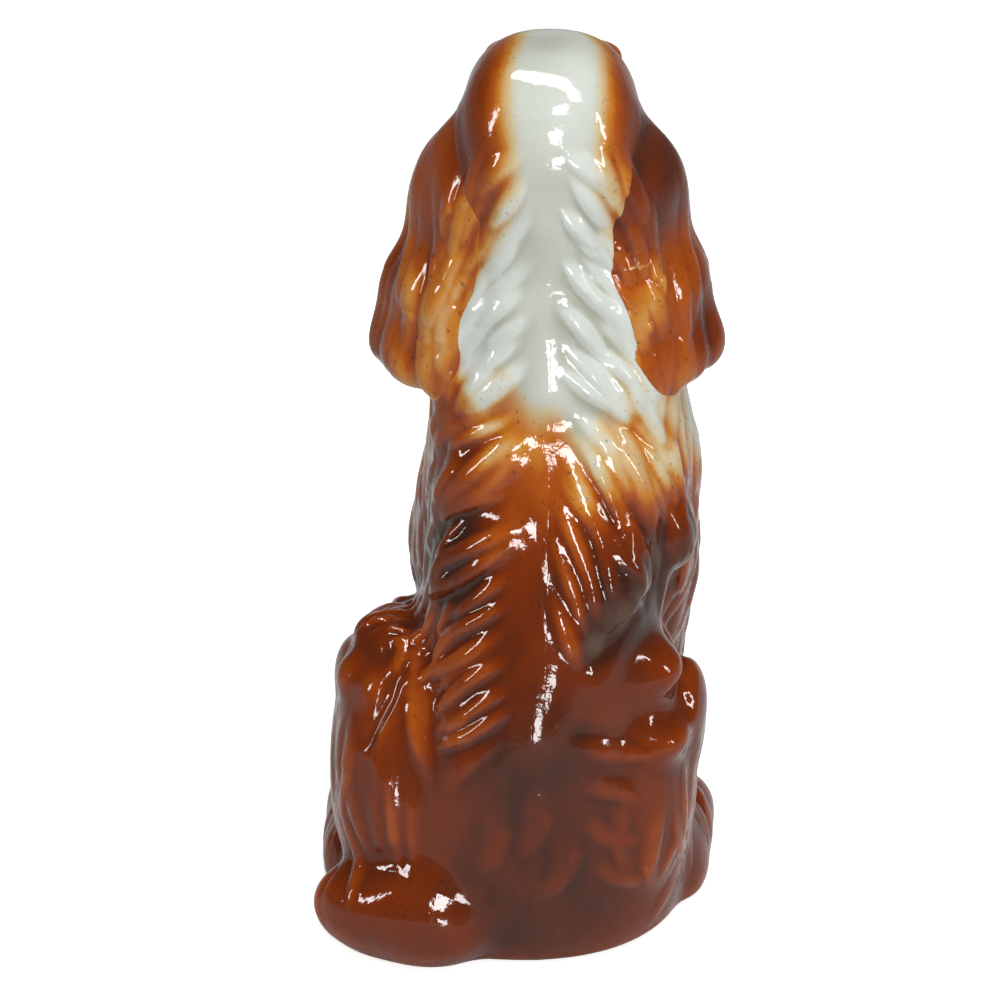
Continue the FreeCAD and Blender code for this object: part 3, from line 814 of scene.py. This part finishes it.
def slip_joint(node, axis, middle, half_width, rise, room_above):
    """Makes the bead of slip where castings meet, on both sides of a plane square to the axis."""
    room = np.array((SLIP_ROOM, SLIP_ROOM, room_above))
    low, high = (np.array(corner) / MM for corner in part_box(node))
    low, high = low - room, high + room
    field = finer(clay["form"], low, high, SLIP_STEP)
    places = field.places(tuple(slice(0, count) for count in field.values.shape))
    off = places[axis] - middle
    values = np.maximum(field.values - rise * (1 - (off / half_width) ** 2), np.abs(off) - 1.5 * half_width)
    values = np.maximum(values, -field.values - SLIP_DEPTH)
    margin, z = 2 * SLIP_STEP, places[2]
    values = np.maximum(values, np.maximum(low[2] + margin - z, z - high[2] + margin))
    points, quads = surface(Field(values, low, SLIP_STEP))
    points, raised = carved(field, points, quads, "coat")
    return stand_in(node, points, quads, raised, "coat")


def carved(field, points, quads, kind):
    """The points once the locks are carved in the skin, and how far the carving raises each."""
    skin = smoothstep(-1.8, -0.4, sample(field, points)) * smoothstep(0.5, 4, points[:, 2])
    if kind == "head":
        skin = skin * smoothstep(-30, -18, points[:, 1])
    raised = averaged(lock_relief(points), quads, 2)
    worked = raised - GROUND_DEPTH + UNEVENNESS[kind] * hand_waves(points)
    return points + outward(field, points) * (skin * worked)[:, None], raised * skin


def stand_in(node, points, quads, raised, kind):
    """The visible piece, with notes on how warm the paint is and where pooled glaze and painted shade darken
    the carving and the hollows.
    """
    piece = mesh_object(node + "_glazed", points, quads)
    # Pooled glaze and painted shade: darker where a point lies below the mean of its neighbours and where
    # the form is hollow
    pool_and_shade = (averaged(raised, quads, POOL_AND_SHADE_ROUNDS) - raised) / POOL_AND_SHADE_DEPTH
    pool_and_shade = pool_and_shade - sample(clay["broad"], points) / BROAD_DEPTH + POOL_AND_SHADE_START
    notes = {"warmth": PAINT[kind](points),
             "pool_and_shade": np.clip(pool_and_shade, -1, 1) * POOL_AND_SHADE_SHARE[kind],
             "ink": face_ink(points) if kind == "head" else 0 * raised,
             "opal": coat_opal(points) if kind == "coat" else 0 * raised}
    for name in LAYERS:
        layer(piece, name, notes[name])
    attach(piece, "root")
    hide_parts(node)
    return piece


def model_face(field):
    """Plain spaniel face: brows, eyes, nose, cheeks, lips and chin."""
    egg(field, (0, -45, 226), (6, 9, 6), blend=5, away=True)
    for side in (LEFT, RIGHT):
        egg(field, (side * 10, -36, 227), (8, 6, 4.5), (0, 0, side * -12), blend=4)
        egg(field, (side * EYE_OUT, -44, 219), (6, 6, 5), blend=3, away=True)
        egg(field, (side * EYE_OUT, EYE_FORWARD, EYE_HEIGHT), (EYE_RADIUS,) * 3, blend=0.5)
        egg(field, (side * 8, -57, 201), (8, 10, 8), blend=4)
        egg(field, (side * 17, -27, 205), (7, 11, 10), blend=5)
    egg(field, (0, -55, 195), (8, 8, 4), blend=3)
    egg(field, NOSE_MIDDLE, (7, 4.5, 5), blend=1.2)
    for side in (LEFT, RIGHT):
        egg(field, (side * EYE_OUT, -41.5, 223), (6.2, 3.6, 1.9), (0, side * 12, 0), blend=1)
        egg(field, (side * EYE_OUT, -42, 215.2), (5.6, 3.2, 1.3), (0, side * -6, 0), blend=1)
        egg(field, (side * 3.4, -70.5, 211.5), (1.5, 2.4, 1.3), blend=0.8, away=True)
        mouth = facing(side * np.array([0, 0.3, 2.5, 6.5, 11, 14]),
                       [207, 203, 199.5, 197.5, 198, 200.5], -1, field)
        rope(field, mouth, [0.9, 0.9, 1.0, 1.0, 0.8, 0.5], blend=0.9, away=True)


# Materials

class Graph:
    """A node tree and short ways to add to it: an input is a plain value or another node's socket."""

    def __init__(self, owner):
        owner.use_nodes = True
        self.nodes = owner.node_tree.nodes
        self.links = owner.node_tree.links

    def fill(self, node, inputs):
        for name, value in inputs.items():
            if isinstance(value, bpy.types.NodeSocket):
                self.links.new(value, node.inputs[name])
            else:
                node.inputs[name].default_value = value

    def add(self, kind, inputs, **settings):
        """The outputs of a new node with these inputs and settings."""
        node = self.nodes.new("ShaderNode" + kind)
        for name, value in settings.items():
            setattr(node, name, value)
        self.fill(node, inputs)
        return node.outputs

    def math(self, operation, *values):
        return self.add("Math", dict(enumerate(values)), operation=operation)[0]

    def ranged(self, value, start, end, low=0.0, high=1.0, way="LINEAR"):
        """The value as it goes from start to end, turned into one from low to high."""
        inputs = {"Value": value, "From Min": start, "From Max": end, "To Min": low, "To Max": high}
        return self.add("MapRange", inputs, interpolation_type=way)["Result"]

    def mix(self, share, first, second, kind="FLOAT"):
        return self.add("Mix", {"Factor": share, "A": first, "B": second}, data_type=kind)["Result"]

    def ramp(self, value, stops):
        """A colour for the value, between stops that each have a position and a colour."""
        node = self.nodes.new("ShaderNodeValToRGB")
        elements = node.color_ramp.elements
        while len(elements) < len(stops):
            elements.new(0.5)
        for element, (position, colour) in zip(elements, stops):
            element.position = position
            element.color = (*colour, 1)
        self.fill(node, {"Fac": value})
        return node.outputs["Color"]

    def noise(self, scale, detail, stretch=(1, 1, 1)):
        place = self.add("TexCoord", {})["Object"]
        place = self.add("Mapping", {"Vector": place, "Scale": stretch})["Vector"]
        return self.add("TexNoise", {"Vector": place, "Scale": scale, "Detail": detail})["Fac"]


def glaze(name):
    """Coloured glaze over white clay, with its colours by the paint's warmth and the carving."""
    settings = bpy.context.scene.ornament_glaze
    material = bpy.data.materials.new(name)
    graph = Graph(material)
    warmth, pool_and_shade, ink, opal = (graph.add("Attribute", {}, attribute_name=part)["Fac"] for part in LAYERS)
    coloured = graph.ranged(warmth, 0, 0.2, 0.1, 1)
    bare = graph.ranged(warmth, 0.22, 0.02)

    # The colour takes unevenly, and gathers in the carving and the hollows, darkened there by pooled glaze
    # and painted shade
    clouds = graph.math("SUBTRACT", graph.noise(CLOUD_SCALE, 4, (1, 1, 0.6)), 0.5)
    flecks = graph.math("SUBTRACT", graph.noise(FLECK_SCALE, 3, (1, 1, 0.5)), 0.5)
    mottle = graph.math("MULTIPLY", coloured, settings.mottle)
    level = graph.math("MULTIPLY_ADD", clouds, mottle, warmth)
    level = graph.math("MULTIPLY_ADD", flecks, graph.math("MULTIPLY", mottle, 0.35), level)
    pooled_shade_level = graph.math("MULTIPLY", pool_and_shade, settings.pooling_and_shade)
    level = graph.math("ADD", level, graph.math("MULTIPLY", pooled_shade_level, coloured))
    stops = [(position, getattr(settings, paint)) for paint, position in GLAZE_STOPS.items()]
    colour = graph.ramp(level, stops)

    # Over it come the white coat's grooves with pooled glaze and painted shade, the milky patches, dark
    # specks and the black of the face
    shade = graph.math("MULTIPLY", graph.math("MULTIPLY", pool_and_shade, bare), settings.groove_shade_depth)
    milk = graph.math("MULTIPLY", opal, graph.math("ADD", graph.noise(MILK_SCALE, 3), 0.35))
    specks = graph.math("MULTIPLY", graph.ranged(graph.noise(SPECK_SCALE, 1), 0.66, 0.74), coloured)
    specks = graph.math("MULTIPLY", specks, 0.5)
    for share, paint in ((shade, settings.groove_glaze_and_shade), (milk, settings.opal), (specks, settings.dark),
                         (ink, settings.ink)):
        colour = graph.mix(share, colour, (*paint, 1), "RGBA")

    bump = graph.add("Bump", {"Strength": 0.25, "Distance": 0.0004, "Height": graph.noise(PEEL_SCALE, 2)})
    graph.fill(graph.nodes["Principled BSDF"], {
        "Base Color": colour, "Normal": bump["Normal"], "Roughness": GLAZE_ROUGHNESS, "IOR": GLAZE_IOR,
        "Specular IOR Level": GLAZE_SPECULAR})
    return material


def bare_clay(name):
    """Unglazed clay with a fine grain."""
    material = bpy.data.materials.new(name)
    graph = Graph(material)
    colour = graph.ramp(graph.noise(GRAIN_SCALE, 2), [(0, CLAY_DARK), (1, CLAY_LIGHT)])
    graph.fill(graph.nodes["Principled BSDF"], {"Base Color": colour, "Roughness": 0.85})
    return material


def finish(piece, slot):
    if slot not in finishes:
        finishes[slot] = glaze(slot)
    piece.data.materials.clear()
    piece.data.materials.append(finishes[slot])


# Stage

def paper_floor():
    """A pale floor that looks white and keeps the figure's shadow."""
    half = FLOOR_HALF_WIDTH / MM
    corners = np.array([(-half, -half, 0), (half, -half, 0), (half, half, 0), (-half, half, 0)])
    floor = mesh_object("studio_floor", corners, np.array([(0, 1, 2, 3)]))
    material = bpy.data.materials.new("studio_paper")
    graph = Graph(material)
    path = graph.add("LightPath", {})
    seen = graph.math("MAXIMUM", path["Is Camera Ray"], path["Is Glossy Ray"])
    seen = graph.math("MAXIMUM", seen, path["Is Transmission Ray"])
    lift = graph.math("MULTIPLY", seen, PAPER_LIFT)
    lift = graph.math("MULTIPLY_ADD", path["Is Camera Ray"], PAPER_LIFT_SEEN, lift)
    graph.fill(graph.nodes["Principled BSDF"], {
        "Base Color": (PAPER, PAPER, PAPER, 1), "Roughness": 0.9, "Specular IOR Level": 0.0,
        "Emission Color": (1, 1, 1, 1), "Emission Strength": lift})
    floor.data.materials.append(material)


def studio_room(scene, settings):
    """Soft light from all round, a dark ceiling in reflections, and white behind the figure."""
    world = bpy.data.worlds.new("studio_room")
    scene.world = world
    graph = Graph(world)
    split = graph.add("SeparateXYZ", {"Vector": graph.add("TexCoord", {})["Generated"]})
    gloss = graph.ranged(split["Z"], 0.05, 0.35, HORIZON_GLOSS, settings.room_gloss, "SMOOTHSTEP")
    path = graph.add("LightPath", {})
    shiny = graph.math("MAXIMUM", path["Is Glossy Ray"], path["Is Transmission Ray"])
    strength = graph.mix(shiny, settings.room_light, gloss)
    strength = graph.mix(path["Is Camera Ray"], strength, 1.0)
    graph.fill(graph.nodes["Background"], {"Color": (1, 1, 1, 1), "Strength": strength})


def hang_lamp(scene, name, place, size, power, lights, shines):
    """A lamp or a window that faces the figure."""
    lamp = bpy.data.lights.new(name, "AREA")
    lamp.shape = "RECTANGLE"
    lamp.size, lamp.size_y = size
    lamp.energy = power
    holder = bpy.data.objects.new(name, lamp)
    scene.collection.objects.link(holder)
    holder.location = place
    holder.rotation_euler = (Vector(LAMP_AIM) - Vector(place)).to_track_quat("-Z", "Y").to_euler()
    holder.visible_diffuse = lights
    holder.visible_glossy = shines


def photo_camera(scene, settings):
    """The camera, at the photograph's angle."""
    camera = bpy.data.cameras.new("photo_camera")
    holder = bpy.data.objects.new("photo_camera", camera)
    scene.collection.objects.link(holder)
    azimuth, elevation = settings.azimuth, settings.elevation
    back = Vector((sin(azimuth) * cos(elevation), -cos(azimuth) * cos(elevation), sin(elevation)))
    holder.location = Vector(CAMERA_AIM) + back * settings.distance
    holder.rotation_euler = (-back).to_track_quat("-Z", "Y").to_euler()
    camera.sensor_width = SENSOR_WIDTH
    camera.lens = SENSOR_WIDTH * LENS_TO_SENSOR
    camera.shift_x, camera.shift_y = CAMERA_SHIFT
    scene.camera = holder


# Sizes, colours, operators and panel

def swatch(name, description, default):
    return FloatVectorProperty(name=name, description=description, default=default, subtype="COLOR")


def portion(name, description, default):
    return FloatProperty(name=name, description=description, default=default, min=0, max=1)


class OrnamentForm(bpy.types.PropertyGroup):
    """Sizes of the modelling and of the carving"""
    softness: FloatProperty(name="Softness", default=2.5, min=0.5, max=4.0,
                            description="How far the clay is sponged at its joins, in millimetres")
    seed: IntProperty(name="Seed", description="Fixes how the locks vary", default=7)


class OrnamentGlaze(bpy.types.PropertyGroup):
    """Colours of the glaze"""
    mottle: portion("Mottle", "How unevenly the colour took", 0.3)
    # How far pooled glaze and painted shade darken the colour in the carving and the hollows
    pooling_and_shade: portion("Pooling", "How much the colour gathers in the carving", 0.16)
    # How far pooled glaze and painted shade darken the white coat's grooves
    groove_shade_depth: portion("Groove depth", "How far the white coat's grooves darken", 0.7)
    white: swatch("White", "Bare white glaze", (0.59, 0.625, 0.58))
    # Colour of the white coat's grooves: pooled glaze and painted shade
    groove_glaze_and_shade: swatch("Groove", "Glaze gathered in the white coat's grooves", (0.32, 0.335, 0.26))
    cream: swatch("Cream", "Edge of the colour", (0.58, 0.44, 0.23))
    amber: swatch("Amber", "Thin colour", (0.50, 0.19, 0.025))
    orange: swatch("Orange brown", "Full colour", (0.36, 0.075, 0.008))
    brown: swatch("Red brown", "Thick colour", (0.18, 0.028, 0.004))
    dark: swatch("Dark brown", "Pooled colour", (0.05, 0.014, 0.007))
    opal: swatch("Opal", "Thick glaze gone milky", (0.18, 0.13, 0.08))
    ink: swatch("Black", "Paint of the nose and the eyes", (0.012, 0.009, 0.008))


class OrnamentStudio(bpy.types.PropertyGroup):
    """Camera and lamps"""
    azimuth: FloatProperty(name="Azimuth", description="Camera's angle round the figure", subtype="ANGLE",
                           default=radians(182.5))
    elevation: FloatProperty(name="Elevation", description="Camera's angle above the table", subtype="ANGLE",
                             default=radians(30))
    distance: FloatProperty(name="Distance", description="From the camera to its aim", subtype="DISTANCE",
                            unit="LENGTH", default=0.8)
    room_light: FloatProperty(name="Room light", description="Soft light from all round",
                              default=0.3, min=0)
    room_gloss: FloatProperty(name="Ceiling", description="How bright the ceiling is in reflections",
                              default=0.02, min=0)


class ORNAMENT_OT_clay(bpy.types.Operator):
    """Join the plain castings into one modelled form and lay out the carved coat"""
    bl_idname = "ornament.clay"
    bl_label = "Work the Clay"

    def execute(self, context):
        work_clay(context.scene.ornament_form)
        return {"FINISHED"}


class ORNAMENT_OT_castings(bpy.types.Operator):
    """Make the body's halves, the head, the ears, the legs and the tail"""
    bl_idname = "ornament.castings"
    bl_label = "Castings"

    def execute(self, context):
        for node, (kind, step, slot) in CASTINGS.items():
            finish(cast(node, kind, step), slot)
        return {"FINISHED"}


class ORNAMENT_OT_slip(bpy.types.Operator):
    """Make the beads of slip on the body's seam and under the head"""
    bl_idname = "ornament.slip"
    bl_label = "Slip Joints"

    def execute(self, context):
        for joint in SLIP_JOINTS:
            finish(slip_joint(*joint), "back_glaze")
        return {"FINISHED"}


class ORNAMENT_OT_floor(bpy.types.Operator):
    """Leave the clay floor inside the foot unglazed"""
    bl_idname = "ornament.floor"
    bl_label = "Clay Floor"

    def execute(self, context):
        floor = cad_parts["base_floor"].data
        floor.materials.clear()
        floor.materials.append(bare_clay("bare_clay"))
        return {"FINISHED"}


class ORNAMENT_OT_stage(bpy.types.Operator):
    """Set up the floor, the lamps and the camera"""
    bl_idname = "ornament.stage"
    bl_label = "Stage"

    def execute(self, context):
        settings = context.scene.ornament_studio
        context.scene.view_settings.view_transform = "Standard"
        paper_floor()
        studio_room(context.scene, settings)
        for lamp in LAMPS:
            hang_lamp(context.scene, *lamp)
        photo_camera(context.scene, settings)
        return {"FINISHED"}


class ORNAMENT_PT_panel(bpy.types.Panel):
    bl_label = "Ornament"
    bl_idname = "ORNAMENT_PT_panel"
    bl_space_type = "VIEW_3D"
    bl_region_type = "UI"
    bl_category = "Ornament"

    def draw(self, context):
        for operator in OPERATORS:
            self.layout.operator(operator.bl_idname)


GROUPS = {"ornament_form": OrnamentForm, "ornament_glaze": OrnamentGlaze, "ornament_studio": OrnamentStudio}
OPERATORS = (ORNAMENT_OT_clay, ORNAMENT_OT_castings, ORNAMENT_OT_slip, ORNAMENT_OT_floor,
             ORNAMENT_OT_stage)


def register():
    for name, group in GROUPS.items():
        bpy.utils.register_class(group)
        setattr(bpy.types.Scene, name, PointerProperty(type=group))
    for cls in (*OPERATORS, ORNAMENT_PT_panel):
        bpy.utils.register_class(cls)


def unregister():
    for cls in (ORNAMENT_PT_panel, *reversed(OPERATORS)):
        bpy.utils.unregister_class(cls)
    for name, group in reversed(GROUPS.items()):
        delattr(bpy.types.Scene, name)
        bpy.utils.unregister_class(group)


def main():
    register()
    for operator in OPERATORS:
        group, name = operator.bl_idname.split(".")
        getattr(getattr(bpy.ops, group), name)()


if __name__ == "__main__":
    main()
